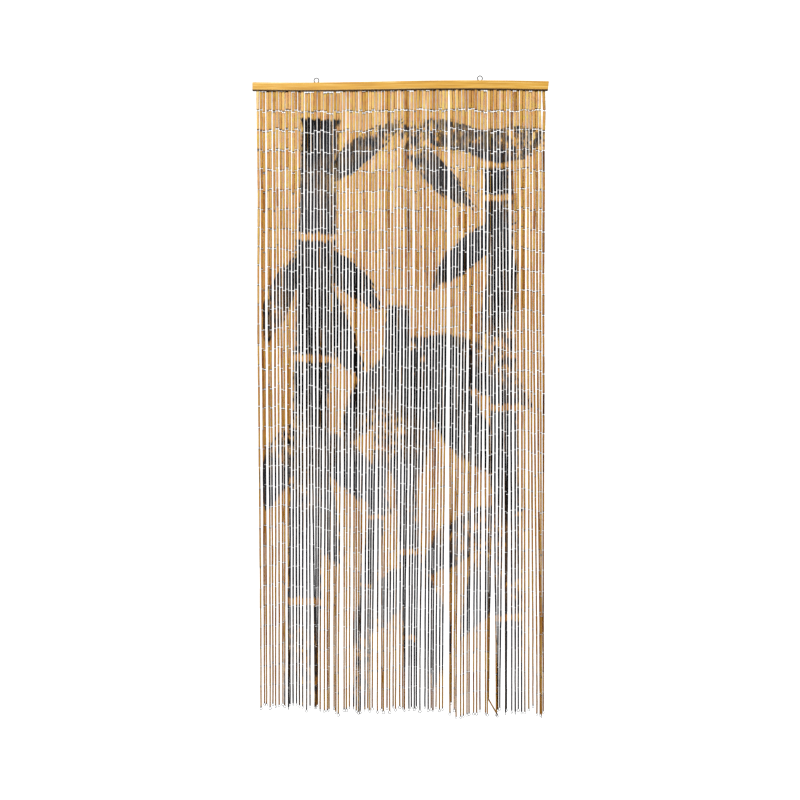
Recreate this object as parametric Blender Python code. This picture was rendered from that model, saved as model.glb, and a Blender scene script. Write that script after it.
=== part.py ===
"""Bamboo bead door curtain: ninety bead strands hung from a wooden batten with two screw eyes.

The front faces -Y and Z is up. The origin is midway between the centres of the two eye rings.
"""

import math

import bmesh
import bpy
from mathutils import Matrix, Vector

MM = 0.001

# Batten, a lath that has warped into a shallow wave and is sawn a little wider at its right end
BATTEN_LEFT = -444 * MM
BATTEN_RIGHT = 459 * MM
BATTEN_HEIGHT = 27.8 * MM
BATTEN_FLARE = 3 * MM
BATTEN_THICKNESS = 14 * MM
BATTEN_STATIONS = 15
BATTEN_ROUNDING = 1.6 * MM
END_SLANT = 3 * MM
WARP_HEIGHT = 3.5 * MM
WARP_HALF_WAVE = 540 * MM
WARP_START = -45 * MM

# Screw eyes, driven home until the rings sink a little into the wood
EYE_HALF_SPACING = 249 * MM
EYE_RADIUS = 7.4 * MM
EYE_WIRE = 1.15 * MM
EYE_CENTRE_RISE = 6.5 * MM
EYE_SHANK_DEPTH = 14 * MM
EYE_RING_STEPS = 20
EYE_WIRE_STEPS = 8

# Hanging strip, let into a groove in the batten's underside
STRIP_LEFT = -433 * MM
STRIP_RIGHT = 449 * MM
STRIP_DEPTH = 9 * MM
STRIP_HEIGHT = 3 * MM
FIT_GAP = 0.3 * MM
CUT_THROUGH = 2 * MM

# Strands
STRANDS = 90
BEADS = 31
FIRST_ROOT = -428 * MM
LAST_ROOT = 442.6 * MM
ROOT_WIRE = 1.1 * MM
ROOT_SHORTEST = 0.6 * MM
ROOT_LONGEST = 6 * MM
ROOT_STAGGER = 3 * MM
ROOT_SCATTER = 0.6 * MM
BEAD_SHOULDER = 1 * MM
END_LOOP = 9 * MM
END_WIRE = 0.9 * MM
BEAD_LENGTH_SCATTER = 4.5 * MM
HEM_SCATTER = 8 * MM
SWAY = 0.6 * MM
MIDDLE_SCATTER = 1.6 * MM
HEM_SPACING_SCATTER = 0.28
KINK = 0.25 * MM
DEPTH_KINK = 0.5 * MM
LAYER_GAP = 0.8 * MM
LAYER_BEADS = 5
# Beads at whose upper end a strand's solid has a section of its own
SECTION_JOINTS = (1, 3, 5, 9, 14, 19, 25, 30, 31)

# How the strands gather towards the hem: first and last strand, the x of both at the hem, the
# height of the lowest bead's end of both (millimetres), and the bead where they begin to draw in
HEM_GROUPS = (
    (0, 14, -416, -292, -1903, -1906, 0),
    (15, 16, -278, -268, -1916, -1909, 8),
    (17, 19, -253, -246, -1906, -1906, 14),
    (20, 21, -235, -226, -1911, -1917, 10),
    (22, 23, -215, -211, -1925, -1915, 12),
    (24, 26, -196, -180, -1914, -1924, 8),
    (27, 29, -165, -150, -1918, -1904, 8),
    (30, 33, -134, -116, -1911, -1920, 6),
    (34, 37, -100, -77, -1915, -1919, 8),
    (38, 52, -62, 67, -1916, -1912, 8),
    (53, 59, 82, 134, -1914, -1918, 4),
    (60, 61, 158, 163, -1933, -1903, 3),
    (62, 63, 171, 176, -1923, -1941, 3),
    (64, 70, 189, 248, -1938, -1921, 6),
    (71, 73, 265, 277, -1929, -1921, 16),
    (74, 76, 300, 310, -1932, -1918, 20),
    (77, 78, 326, 330, -1927, -1914, 2),
    (79, 84, 343, 395, -1928, -1916, 4),
    (85, 86, 411, 420, -1912, -1924, 8),
    (87, 89, 433, 442, -1940, -1917, 10),
)

# Where strands part: the strand left of the parting, its width in millimetres,
# the bead where it is widest, and how many beads it reaches up and down
PARTINGS = (
    (-1, 6.0, 6, 4),
    (2, 1.6, 6, 6),
    (4, 1.2, 4, 4),
    (27, 1.8, 5, 6),
    (48, 2.0, 6, 4),
    (52, 2.2, 1.5, 2),
    (59, 6.4, 7, 15),
    (70, 3.2, 5, 3),
    (78, 7.0, 6, 4),
    (84, 2.4, 7, 6),
    (88, 5.0, 0.6, 1.2),
)
PARTING_FADE = 3.0
ROOT_PARTING = 0.35

# One strand's lowest bead has swung aside and back, and hangs in its neighbour's end loop
SWUNG_STRAND = 73
SWUNG_HEM = -1952 * MM
SWUNG_ANGLE = math.radians(29.5)
SWUNG_LENGTH = 55 * MM
SWUNG_BACK = 6 * MM

# Bead diameter: thick beads under the batten, thinner ones towards the hem
BEAD_WIDTH = 8.3 * MM
BEAD_WIDTH_TAPER = 0.116 * MM
BEAD_WIDTH_EXTRA = 1.2 * MM
BEAD_EXTRA_FADE = 2.9


def scatter(a, b):
    """A repeatable value from -1 to 1 for a pair of numbers."""
    wave = math.sin(a * 12.9898 + b * 78.233) * 43758.5453
    return 2.0 * (wave - math.floor(wave)) - 1.0


def ease(share):
    """A smooth step from 0 to 1."""
    share = min(1.0, max(0.0, share))
    return share * share * (3.0 - 2.0 * share)


def mix(a, b, share):
    return a + (b - a) * share


def warp(x):
    """How far the warped batten rises above its mean line at x."""
    return WARP_HEIGHT * math.sin(math.pi * (x - WARP_START) / WARP_HALF_WAVE)


HANG_LEVEL = (warp(-EYE_HALF_SPACING) + warp(EYE_HALF_SPACING)) / 2


def batten_top(x):
    return warp(x) - HANG_LEVEL - EYE_CENTRE_RISE


def batten_bottom(x):
    off_middle = x - (BATTEN_LEFT + BATTEN_RIGHT) / 2
    flare = BATTEN_FLARE * off_middle / (BATTEN_RIGHT - BATTEN_LEFT)
    return batten_top(x) - BATTEN_HEIGHT - flare


def bead_radius(bead):
    """Half the bead diameter at a place counted in beads from the top."""
    extra = BEAD_WIDTH_EXTRA * math.exp(-bead / BEAD_EXTRA_FADE)
    return (BEAD_WIDTH - BEAD_WIDTH_TAPER * bead + extra) / 2


def hem_group(strand):
    for group in HEM_GROUPS:
        if group[0] <= strand <= group[1]:
            return group
    raise ValueError(strand)


def parting_push(strand, bead):
    """How far the partings push a strand sideways."""
    push = 0.0
    for left, width, widest, reach in PARTINGS:
        side = 1.0 if strand > left else -1.0
        steps_off = strand - left - 1 if strand > left else left - strand
        fade = math.exp(-steps_off / PARTING_FADE)
        open_share = math.exp(-(((bead - widest) / reach) ** 2))
        push += side * width * MM / 2 * fade * open_share
    return push * mix(ROOT_PARTING, 1.0, min(1.0, bead))


def even_x(strand):
    """Where a strand would hang if all were evenly spaced."""
    return mix(FIRST_ROOT, LAST_ROOT, strand / (STRANDS - 1))


def root_x(strand):
    return even_x(strand) + ROOT_SCATTER * scatter(strand, 1.3) + parting_push(strand, 0)


def strand_top(strand):
    """The height of the first bead's upper end."""
    drop = mix(ROOT_SHORTEST, ROOT_LONGEST, (0.5 + 0.5 * scatter(strand, 3.7)) ** 4)
    return batten_bottom(root_x(strand)) - drop


def strand_hem(strand):
    """The height of the lowest bead's end."""
    if strand == SWUNG_STRAND:
        return SWUNG_HEM
    first, last, _, _, low_first, low_last, _ = hem_group(strand)
    level = mix(low_first, low_last, (strand - first) / (last - first)) * MM
    return level + HEM_SCATTER * scatter(strand, 5.1)


def joint_shift(strand, joint):
    """How far a joint hangs off its even height, because the beads differ in length."""
    surplus = [BEAD_LENGTH_SCATTER * scatter(strand, bead + 0.5) for bead in range(BEADS)]
    return sum(surplus[:joint]) - sum(surplus) * joint / BEADS


def strand_point(strand, joint):
    """The centre of a strand at a joint, counted from 0 at the top of the first bead."""
    first, last, hem_left, hem_right, _, _, start = hem_group(strand)
    step = (hem_right - hem_left) / (last - first)
    hem = (hem_left + step * (strand - first + HEM_SPACING_SCATTER * scatter(strand, 9.1))) * MM
    drawn = ease((joint - start) / (BEADS - start))
    lively = ease(joint / LAYER_BEADS)
    x = mix(even_x(strand), hem, drawn) + ROOT_SCATTER * scatter(strand, 1.3)
    x += MIDDLE_SCATTER * scatter(strand, 6.6) * math.sin(math.pi * joint / BEADS) ** 2
    x += parting_push(strand, joint) * (1.0 - drawn)
    x += SWAY * lively * (1.0 - drawn) * math.sin(joint * 0.45 + 3.0 * scatter(strand, 2.2))
    x += KINK * lively * scatter(strand, joint + 0.2)
    side = 1.0 if strand % 2 else -1.0
    y = side * mix(ROOT_STAGGER, bead_radius(joint) + LAYER_GAP, lively)
    y += DEPTH_KINK * lively * scatter(strand, joint + 0.8)
    z = mix(strand_top(strand), strand_hem(strand), joint / BEADS) + joint_shift(strand, joint)
    return Vector((x, y, z))


def strand_points(strand):
    """All the joints of a strand, with its lowest bead swung aside where that has happened."""
    points = [strand_point(strand, joint) for joint in range(BEADS + 1)]
    if strand == SWUNG_STRAND:
        aside = SWUNG_LENGTH * math.sin(SWUNG_ANGLE)
        down = SWUNG_LENGTH * math.cos(SWUNG_ANGLE)
        points[-1] = points[-2] + Vector((aside, SWUNG_BACK, -down))
    return points


def new_object(name, mesh_builder, material=None):
    """An object whose mesh the builder has filled in and whose faces point outwards."""
    mesh = bpy.data.meshes.new(name)
    build = bmesh.new()
    mesh_builder(build)
    bmesh.ops.recalc_face_normals(build, faces=build.faces)
    build.to_mesh(mesh)
    build.free()
    part = bpy.data.objects.new(name, mesh)
    bpy.context.scene.collection.objects.link(part)
    if material:
        mesh.materials.append(material)
    return part


def finish_material(name, colour, roughness, metallic=0.0):
    material = bpy.data.materials.new(name)
    material.use_nodes = True
    shader = material.node_tree.nodes["Principled BSDF"]
    shader.inputs["Base Color"].default_value = (*colour, 1.0)
    shader.inputs["Roughness"].default_value = roughness
    shader.inputs["Metallic"].default_value = metallic
    return material


def add_boolean(part, other, operation):
    """Joins the other object to this one, or cuts it out of this one, and puts the other away."""
    change = part.modifiers.new(other.name, "BOOLEAN")
    change.operation = operation
    change.solver = "EXACT"
    change.object = other
    other.hide_render = True
    other.display_type = "WIRE"


def loft(build, rings):
    """A closed skin over rings that all have the same number of points."""
    rows = [[build.verts.new(point) for point in ring] for ring in rings]
    count = len(rows[0])
    for upper, lower in zip(rows, rows[1:]):
        for i in range(count):
            j = (i + 1) % count
            build.faces.new((upper[i], upper[j], lower[j], lower[i]))
    build.faces.new(rows[0])
    build.faces.new(list(reversed(rows[-1])))


def strip_bottom(x):
    return batten_bottom(x) + FIT_GAP


def strip_top(x):
    return strip_bottom(x) + STRIP_HEIGHT


def groove_bottom(x):
    return batten_bottom(x) - CUT_THROUGH


def groove_top(x):
    return strip_top(x) + FIT_GAP


def lath_builder(left, right, low, high, half_depth, slant=0.0):
    """A lath that follows the warp, between two edges whose height depends on x."""

    def fill(build):
        rings = []
        for station in range(BATTEN_STATIONS):
            share = station / (BATTEN_STATIONS - 1)
            x = mix(left, right, share)
            foot = x - slant if station == BATTEN_STATIONS - 1 else x
            rings.append(
                (
                    (x, -half_depth, high(x)),
                    (x, half_depth, high(x)),
                    (foot, half_depth, low(x)),
                    (foot, -half_depth, low(x)),
                )
            )
        loft(build, rings)

    return fill


def eye_pocket_builder(side):
    """The seat that the ring has pressed into the batten, and the hole for the shank."""
    x = side * EYE_HALF_SPACING
    top = batten_top(x)
    sunk = EYE_RADIUS + EYE_WIRE - EYE_CENTRE_RISE
    reach = math.sqrt((EYE_RADIUS + EYE_WIRE) ** 2 - EYE_CENTRE_RISE**2)
    above = 5 * MM

    def fill(build):
        size = (2 * (reach + FIT_GAP), 2 * (EYE_WIRE + FIT_GAP), sunk + FIT_GAP + above)
        place = Matrix.Translation((x, 0, top + above - size[2] / 2))
        bmesh.ops.create_cube(build, size=1.0, matrix=place @ Matrix.Diagonal((*size, 1.0)))

    return fill


def rod_builder(x, top, bottom, radius, steps):
    """An upright round rod with flats to the front and the sides."""

    def fill(build):
        half_step = Matrix.Rotation(math.pi / steps, 4, "Z")
        middle = Matrix.Translation((x, 0, (top + bottom) / 2)) @ half_step
        bmesh.ops.create_cone(
            build,
            cap_ends=True,
            segments=steps,
            radius1=radius,
            radius2=radius,
            depth=top - bottom,
            matrix=middle,
        )

    return fill


def make_batten(material):
    half = BATTEN_THICKNESS / 2
    batten = new_object(
        "batten",
        lath_builder(BATTEN_LEFT, BATTEN_RIGHT, batten_bottom, batten_top, half, END_SLANT),
        material,
    )
    rounding = batten.modifiers.new("rounded edges", "BEVEL")
    rounding.width = BATTEN_ROUNDING
    rounding.segments = 2
    rounding.limit_method = "ANGLE"
    rounding.angle_limit = math.radians(40)
    groove = new_object(
        "groove cutter",
        lath_builder(
            STRIP_LEFT - FIT_GAP,
            STRIP_RIGHT + FIT_GAP,
            groove_bottom,
            groove_top,
            STRIP_DEPTH / 2 + FIT_GAP,
        ),
    )
    add_boolean(batten, groove, "DIFFERENCE")
    for side in (-1, 1):
        x = side * EYE_HALF_SPACING
        pocket = new_object("pocket cutter", eye_pocket_builder(side))
        add_boolean(batten, pocket, "DIFFERENCE")
        top = batten_top(x)
        hole_depth = EYE_SHANK_DEPTH + FIT_GAP
        hole = new_object(
            "hole cutter",
            rod_builder(x, top, top - hole_depth, EYE_WIRE + FIT_GAP, EYE_WIRE_STEPS),
        )
        add_boolean(batten, hole, "DIFFERENCE")
    return batten


def eye_ring_builder(side):
    """The closed wire ring, standing in the batten's plane."""
    x = side * EYE_HALF_SPACING
    centre = batten_top(x) + EYE_CENTRE_RISE

    def fill(build):
        first = bmesh.ops.create_circle(
            build,
            cap_ends=False,
            segments=EYE_WIRE_STEPS,
            radius=EYE_WIRE,
            matrix=Matrix.Translation((x + EYE_RADIUS, 0, centre)),
        )
        bmesh.ops.spin(
            build,
            geom=first["verts"] + build.edges[:],
            cent=(x, 0, centre),
            axis=(0, 1, 0),
            angle=math.tau,
            steps=EYE_RING_STEPS,
            use_merge=True,
        )
        bmesh.ops.remove_doubles(build, verts=build.verts, dist=0.01 * MM)

    return fill


def make_eye(name, side, material):
    x = side * EYE_HALF_SPACING
    top = batten_top(x)
    eye = new_object(name, eye_ring_builder(side), material)
    shank_top = top + EYE_CENTRE_RISE - EYE_RADIUS + EYE_WIRE / 3
    shank = new_object(
        name + " shank",
        rod_builder(x, shank_top, top - EYE_SHANK_DEPTH, EYE_WIRE, EYE_WIRE_STEPS),
    )
    add_boolean(eye, shank, "UNION")
    return eye


def diamond(centre, radius):
    """A four-cornered section with one corner to the front."""
    corners = ((-radius, 0), (0, -radius), (radius, 0), (0, radius))
    return [centre + Vector((dx, dy, 0)) for dx, dy in corners]


def strand_rings(strand):
    """The sections of one strand, from its wire in the strip to the tip of its end loop."""
    points = strand_points(strand)
    top = points[0]
    wire_top = Vector((top.x, top.y, batten_bottom(top.x) + STRIP_HEIGHT / 2))
    shoulder = Vector((0, 0, BEAD_SHOULDER))
    rings = [
        diamond(wire_top, ROOT_WIRE),
        diamond(top, ROOT_WIRE),
        diamond(top - shoulder, bead_radius(0)),
    ]
    for joint in SECTION_JOINTS:
        rings.append(diamond(points[joint], bead_radius(joint)))
    onward = (points[-1] - points[-2]).normalized()
    rings.append(diamond(points[-1] + onward * END_LOOP, END_WIRE))
    return rings


def make_strands(material):
    """The strip with all the strands hanging from it, as one solid."""
    strip = new_object(
        "strands",
        lath_builder(STRIP_LEFT, STRIP_RIGHT, strip_bottom, strip_top, STRIP_DEPTH / 2),
        material,
    )

    def fill(build):
        for strand in range(STRANDS):
            loft(build, strand_rings(strand))

    hanging = new_object("hanging strands", fill)
    add_boolean(strip, hanging, "UNION")
    return strip


def main():
    for old in list(bpy.data.objects):
        bpy.data.objects.remove(old, do_unlink=True)
    lacquered_wood = finish_material("lacquered wood", (0.80, 0.46, 0.11), 0.45)
    zinc_wire = finish_material("zinc wire", (0.55, 0.55, 0.53), 0.35, 1.0)
    bamboo = finish_material("bamboo", (0.58, 0.34, 0.14), 0.5)
    make_batten(lacquered_wood)
    make_eye("eye_left", -1, zinc_wire)
    make_eye("eye_right", 1, zinc_wire)
    make_strands(bamboo)


main()
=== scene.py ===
"""The looks of a bamboo bead door curtain: ninety strands of painted tubes on a wooden batten.

The front faces -Y and Z is up. The origin is midway between the centres of the two eye rings.
"""

import math

import bpy
import numpy as np
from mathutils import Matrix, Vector


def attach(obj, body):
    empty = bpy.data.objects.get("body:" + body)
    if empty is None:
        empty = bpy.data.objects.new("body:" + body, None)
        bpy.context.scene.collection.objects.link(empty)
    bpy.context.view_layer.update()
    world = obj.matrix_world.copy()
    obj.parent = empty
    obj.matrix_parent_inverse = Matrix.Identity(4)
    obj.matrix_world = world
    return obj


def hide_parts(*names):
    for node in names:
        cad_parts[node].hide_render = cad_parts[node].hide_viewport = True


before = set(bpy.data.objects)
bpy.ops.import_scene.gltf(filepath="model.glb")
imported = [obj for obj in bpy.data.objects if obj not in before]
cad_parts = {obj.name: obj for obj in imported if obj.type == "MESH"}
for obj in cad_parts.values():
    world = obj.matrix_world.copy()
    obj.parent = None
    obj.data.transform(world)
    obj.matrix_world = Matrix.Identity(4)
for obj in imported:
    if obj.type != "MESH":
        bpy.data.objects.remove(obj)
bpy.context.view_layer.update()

MM = 0.001

# Screw eyes: wire rings on the batten's top edge, and their shanks in the wood. A wire's size
# is half its thickness, and the ring's wire is drawn a little thicker than the shank
EYE_HALF_SPACING = 249 * MM
EYE_RADIUS = 7.4 * MM
EYE_WIRE = 1.15 * MM
EYE_RING_WIRE = 1.4 * MM
EYE_CENTRE_RISE = 6.5 * MM
EYE_SHANK_DEPTH = 14 * MM
EYE_AROUND = 48
EYE_SIDES = 12
SHANK_SIDES = 16

# Batten: a lath that waves along its length and is a little deeper at its right end
BATTEN_LEFT = -444 * MM
BATTEN_RIGHT = 459 * MM
BATTEN_HEIGHT = 27.8 * MM
BATTEN_FLARE = 3 * MM
WARP_HEIGHT = 3.5 * MM
WARP_HALF_WAVE = 540 * MM
WARP_START = -45 * MM

# Strip that carries the hooks, let into a groove under the batten
STRIP_LEFT = -433 * MM
STRIP_RIGHT = 449 * MM
STRIP_DEPTH = 9 * MM
STRIP_HEIGHT = 3 * MM
STRIP_STATIONS = 29
FIT_GAP = 0.3 * MM

# Strands: their places in two staggered rows, and how far each one strays from its own
STRANDS = 90
BEADS = 31
FIRST_ROOT = -428 * MM
LAST_ROOT = 442.6 * MM
ROOT_SHORTEST = 0.6 * MM
ROOT_LONGEST = 6 * MM
ROOT_STAGGER = 3 * MM
ROOT_SCATTER = 0.6 * MM
BEAD_LENGTH_SCATTER = 4.5 * MM
HEM_SCATTER = 8 * MM
SWAY = 0.6 * MM
SWAY_PACE = 0.45
SWAY_PHASE = 3.0
MIDDLE_SCATTER = 1.6 * MM
HEM_SPACING_SCATTER = 0.28
KINK = 0.25 * MM
DEPTH_KINK = 0.5 * MM
LAYER_GAP = 0.8 * MM
LAYER_BEADS = 5

# How the strands gather towards the hem: first and last strand, the x of both at the hem, the
# height of the lowest bead's end of both (millimetres), and the bead where they begin to draw in
HEM_GROUPS = (
    (0, 14, -416, -292, -1903, -1906, 0),
    (15, 16, -278, -268, -1916, -1909, 8),
    (17, 19, -253, -246, -1906, -1906, 14),
    (20, 21, -235, -226, -1911, -1917, 10),
    (22, 23, -215, -211, -1925, -1915, 12),
    (24, 26, -196, -180, -1914, -1924, 8),
    (27, 29, -165, -150, -1918, -1904, 8),
    (30, 33, -134, -116, -1911, -1920, 6),
    (34, 37, -100, -77, -1915, -1919, 8),
    (38, 52, -62, 67, -1916, -1912, 8),
    (53, 59, 82, 134, -1914, -1918, 4),
    (60, 61, 158, 163, -1933, -1903, 3),
    (62, 63, 171, 176, -1923, -1941, 3),
    (64, 70, 189, 248, -1938, -1921, 6),
    (71, 73, 265, 277, -1929, -1921, 16),
    (74, 76, 300, 310, -1932, -1918, 20),
    (77, 78, 326, 330, -1927, -1914, 2),
    (79, 84, 343, 395, -1928, -1916, 4),
    (85, 86, 411, 420, -1912, -1924, 8),
    (87, 89, 433, 442, -1940, -1917, 10),
)

# Where strands part: the strand left of the parting, its width in millimetres,
# the bead where it is widest, and how many beads it reaches up and down
PARTINGS = (
    (-1, 6.0, 6, 4),
    (2, 1.6, 6, 6),
    (4, 1.2, 4, 4),
    (27, 1.8, 5, 6),
    (48, 2.0, 6, 4),
    (52, 2.2, 1.5, 2),
    (59, 6.4, 7, 15),
    (70, 3.2, 5, 3),
    (78, 7.0, 6, 4),
    (84, 2.4, 7, 6),
    (88, 5.0, 0.6, 1.2),
)

# How many strands a parting's push fades over, and how much of it the fixed tops let through
PARTING_FADE = 3.0
ROOT_PARTING = 0.35

# One strand's lowest bead has swung aside and back, and hangs in its neighbour's end loop
SWUNG_STRAND = 73
SWUNG_HEM = -1952 * MM
SWUNG_ANGLE = math.radians(29.5)
SWUNG_LENGTH = 55 * MM
SWUNG_BACK = 6 * MM

# Bead diameter: thick beads under the batten, thinner ones towards the hem
BEAD_WIDTH = 8.3 * MM
BEAD_WIDTH_TAPER = 0.116 * MM
BEAD_WIDTH_EXTRA = 1.2 * MM
BEAD_EXTRA_FADE = 2.9

# Tubes as cut from thin bamboo. All but their crook are shares of a tube's radius or length
TUBE_SIDES = 8
TUBE_RINGS = (-0.2, 0.0, 0.2)
BORE_WALL = 0.42
BORE_DEPTH = 0.09
INSIDE_RIM = 0.9
END_NORMAL = 0.9
TUBE_WIDTH_SCATTER = 0.08
TUBE_MIDDLE_SCATTER = 0.03
TUBE_UPPER_SCATTER = 0.04
NODE_SHARE = 0.16
NODE_SWELL = 0.10
NODE_PLACE = 0.27
NODE_REACH = 0.035
PLAIN_REACH = 0.17
TUBE_CROOK = 0.4 * MM
STRANDS_TO_A_PIECE = 5

# Gaps between tubes, widest under the batten
TOP_GAP = 1.8 * MM
LOW_GAP = 1.1 * MM
TOP_GAP_EXTRA = 1.5 * MM
GAP_EXTRA_FADE = 2.6
TUBE_GAP_SCATTER = 0.6

# How tubes differ in finish: the tone of a strand and of a tube, how far they have turned
# since they were painted, and how far the paint has slipped along a strand
STRAND_TONE_SPREAD = 0.10
TUBE_TONE_SPREAD = 0.13
TUBE_TURN = math.radians(26)
PAINT_SLIP = 3 * MM

# How a tube is unrolled on its cell of the bake map: the width of the sheet and its margin, how
# far the side and the rim reach from its middle, how tall side and bore are drawn, and where
# the bores' floors lie
SHEET_WIDTH = 0.94
SHEET_MARGIN = 0.03
SIDE_REACH = 0.36
RIM_REACH = 0.03
SIDE_STRETCH = 0.7
BORE_STRETCH = 0.4
BORE_FLOORS = (0.02, 0.98)
BORE_FLOOR_SIZE = (0.4, 0.015)

# Wire links in the gaps, two to a gap
LINK_RADIUS = 1.15 * MM
LINK_WIRE = 0.3 * MM
LINK_OFFSET = 0.8 * MM
LINK_AROUND = 6
LINK_SIDES = 3
LINK_PIECES = 3

# Wire loops at the hem, each with a twisted neck
LOOP_RADIUS = 3.7 * MM
LOOP_WIRE = 0.8 * MM
LOOP_DROP = 4.8 * MM
LOOP_SCATTER = 0.18
LOOP_TURN_SPREAD = 0.7
LOOP_AROUND = 18
LOOP_SIDES = 5
NECK_LENGTH = 3.4 * MM
NECK_RADIUS = 1.3 * LOOP_WIRE
NECK_SIDES = 6

# Wire hooks under the batten, as high as the strand's gap needs. Their wire is a share of
# their half width
HOOK_HALF_WIDTH = 1.5 * MM
HOOK_WIRE_SHARE = 0.26
HOOK_RISE = 0.6 * MM
HOOK_DROP = 1.2 * MM
HOOK_TURN = 0.5
HOOK_AROUND = 12
HOOK_SIDES = 4

# Edges flatter than this are shaded smooth, on the small joined shapes and on the eyes
SMOOTH_ANGLE = math.radians(50)
EYE_SMOOTH_ANGLE = math.radians(40)

# Camera: the photograph's frame is 800 pixels of 3.046 mm at the curtain
CAMERA_X = 5.5 * MM
CAMERA_Z = -976.5 * MM
CAMERA_DISTANCE = 6.0
FRAME_WIDTH = 2.437
SENSOR_WIDTH = 36.0
FLOOR_Z = -2.05
FLOOR_SIZE = 60.0

# The white room: how bright it is to the eye, and how much light comes from its front, its
# back and its floor. The front's light fades out a little behind the curtain
ROOM_WHITE = 1.3
ROOM_GLOW_FRONT = 0.72
ROOM_GLOW_BACK = 0.25
ROOM_FADE = (-1.0, 0.4)
FLOOR_GLOW = 0.25

# Soft lights: name, place, the point it is aimed at, width and height (metres), and watts
LIGHTS = (
    ("key", (-1.1, -4.6, 2.4), (0, 0, -0.3), (1.8, 1.8), 370),
    ("back_fill", (1.6, 3.6, 0.6), (0, 0, -0.8), (2.0, 2.0), 50),
)

SEED = 90
rng = np.random.default_rng(SEED)


def scatter(a, b):
    """A repeatable value from -1 to 1 for a pair of numbers."""
    wave = math.sin(a * 12.9898 + b * 78.233) * 43758.5453
    return 2.0 * (wave - math.floor(wave)) - 1.0


def ease(share):
    """Smooths a share, so that what follows it starts and ends gently."""
    share = min(1.0, max(0.0, share))
    return share * share * (3.0 - 2.0 * share)


def mix(a, b, share):
    """The value a share of the way from a to b."""
    return a + (b - a) * share


def warp(x):
    """How far the warped batten rises above its mean line at x."""
    return WARP_HEIGHT * math.sin(math.pi * (x - WARP_START) / WARP_HALF_WAVE)


# How far the wave lifts the two eyes on average. The origin is midway between them
HANG_LEVEL = (warp(-EYE_HALF_SPACING) + warp(EYE_HALF_SPACING)) / 2


def batten_top(x):
    """The height of the batten's top edge."""
    return warp(x) - HANG_LEVEL - EYE_CENTRE_RISE


def batten_bottom(x):
    """The height of the batten's lower edge."""
    off_middle = x - (BATTEN_LEFT + BATTEN_RIGHT) / 2
    flare = BATTEN_FLARE * off_middle / (BATTEN_RIGHT - BATTEN_LEFT)
    return batten_top(x) - BATTEN_HEIGHT - flare


def bead_radius(bead):
    """Half the bead diameter at a place counted in beads from the top."""
    extra = BEAD_WIDTH_EXTRA * math.exp(-bead / BEAD_EXTRA_FADE)
    return (BEAD_WIDTH - BEAD_WIDTH_TAPER * bead + extra) / 2


def hem_group(strand):
    """The row of HEM_GROUPS that a strand belongs to."""
    for group in HEM_GROUPS:
        first, last = group[:2]
        if first <= strand <= last:
            return group
    raise ValueError(strand)


def parting_push(strand, bead):
    """How far the partings push a strand sideways."""
    push = 0.0
    for left, width, widest, reach in PARTINGS:
        side = 1.0 if strand > left else -1.0
        steps_off = strand - left - 1 if strand > left else left - strand
        fade = math.exp(-steps_off / PARTING_FADE)
        open_share = math.exp(-(((bead - widest) / reach) ** 2))
        push += side * width * MM / 2 * fade * open_share
    return push * mix(ROOT_PARTING, 1.0, min(1.0, bead))


def even_x(strand):
    """Where a strand would hang if all were evenly spaced, as when they were painted."""
    return mix(FIRST_ROOT, LAST_ROOT, strand / (STRANDS - 1))


def root_x(strand):
    """Where a strand's top hangs."""
    return even_x(strand) + ROOT_SCATTER * scatter(strand, 1.3) + parting_push(strand, 0)


def strand_top(strand):
    """The height of the first bead's upper end."""
    drop = mix(ROOT_SHORTEST, ROOT_LONGEST, (0.5 + 0.5 * scatter(strand, 3.7)) ** 4)
    return batten_bottom(root_x(strand)) - drop


def strand_hem(strand):
    """The height of the lowest bead's end."""
    if strand == SWUNG_STRAND:
        return SWUNG_HEM
    first, last, _, _, low_first, low_last, _ = hem_group(strand)
    level = mix(low_first, low_last, (strand - first) / (last - first)) * MM
    return level + HEM_SCATTER * scatter(strand, 5.1)


def joint_shift(strand, joint):
    """How far a joint hangs off its even height, because the beads differ in length."""
    surplus = [BEAD_LENGTH_SCATTER * scatter(strand, bead + 0.5) for bead in range(BEADS)]
    return sum(surplus[:joint]) - sum(surplus) * joint / BEADS


def strand_point(strand, joint):
    """The centre of a strand at a joint, counted from 0 at the top of the first bead."""
    first, last, hem_left, hem_right, _, _, start = hem_group(strand)
    step = (hem_right - hem_left) / (last - first)
    hem = (hem_left + step * (strand - first + HEM_SPACING_SCATTER * scatter(strand, 9.1))) * MM
    drawn = ease((joint - start) / (BEADS - start))
    lively = ease(joint / LAYER_BEADS)
    x = mix(even_x(strand), hem, drawn) + ROOT_SCATTER * scatter(strand, 1.3)
    x += MIDDLE_SCATTER * scatter(strand, 6.6) * math.sin(math.pi * joint / BEADS) ** 2
    x += parting_push(strand, joint) * (1.0 - drawn)
    phase = joint * SWAY_PACE + SWAY_PHASE * scatter(strand, 2.2)
    x += SWAY * lively * (1.0 - drawn) * math.sin(phase)
    x += KINK * lively * scatter(strand, joint + 0.2)
    side = 1.0 if strand % 2 else -1.0
    y = side * mix(ROOT_STAGGER, bead_radius(joint) + LAYER_GAP, lively)
    y += DEPTH_KINK * lively * scatter(strand, joint + 0.8)
    z = mix(strand_top(strand), strand_hem(strand), joint / BEADS) + joint_shift(strand, joint)
    return Vector((x, y, z))


def strand_points(strand):
    """All the joints of a strand, with its lowest bead swung aside where that has happened."""
    points = [strand_point(strand, joint) for joint in range(BEADS + 1)]
    if strand == SWUNG_STRAND:
        aside = SWUNG_LENGTH * math.sin(SWUNG_ANGLE)
        down = SWUNG_LENGTH * math.cos(SWUNG_ANGLE)
        points[-1] = points[-2] + Vector((aside, SWUNG_BACK, -down))
    return points


# The colour sockets of a mix node
MIX_A, MIX_B, MIX_RESULT = 6, 7, 2


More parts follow.
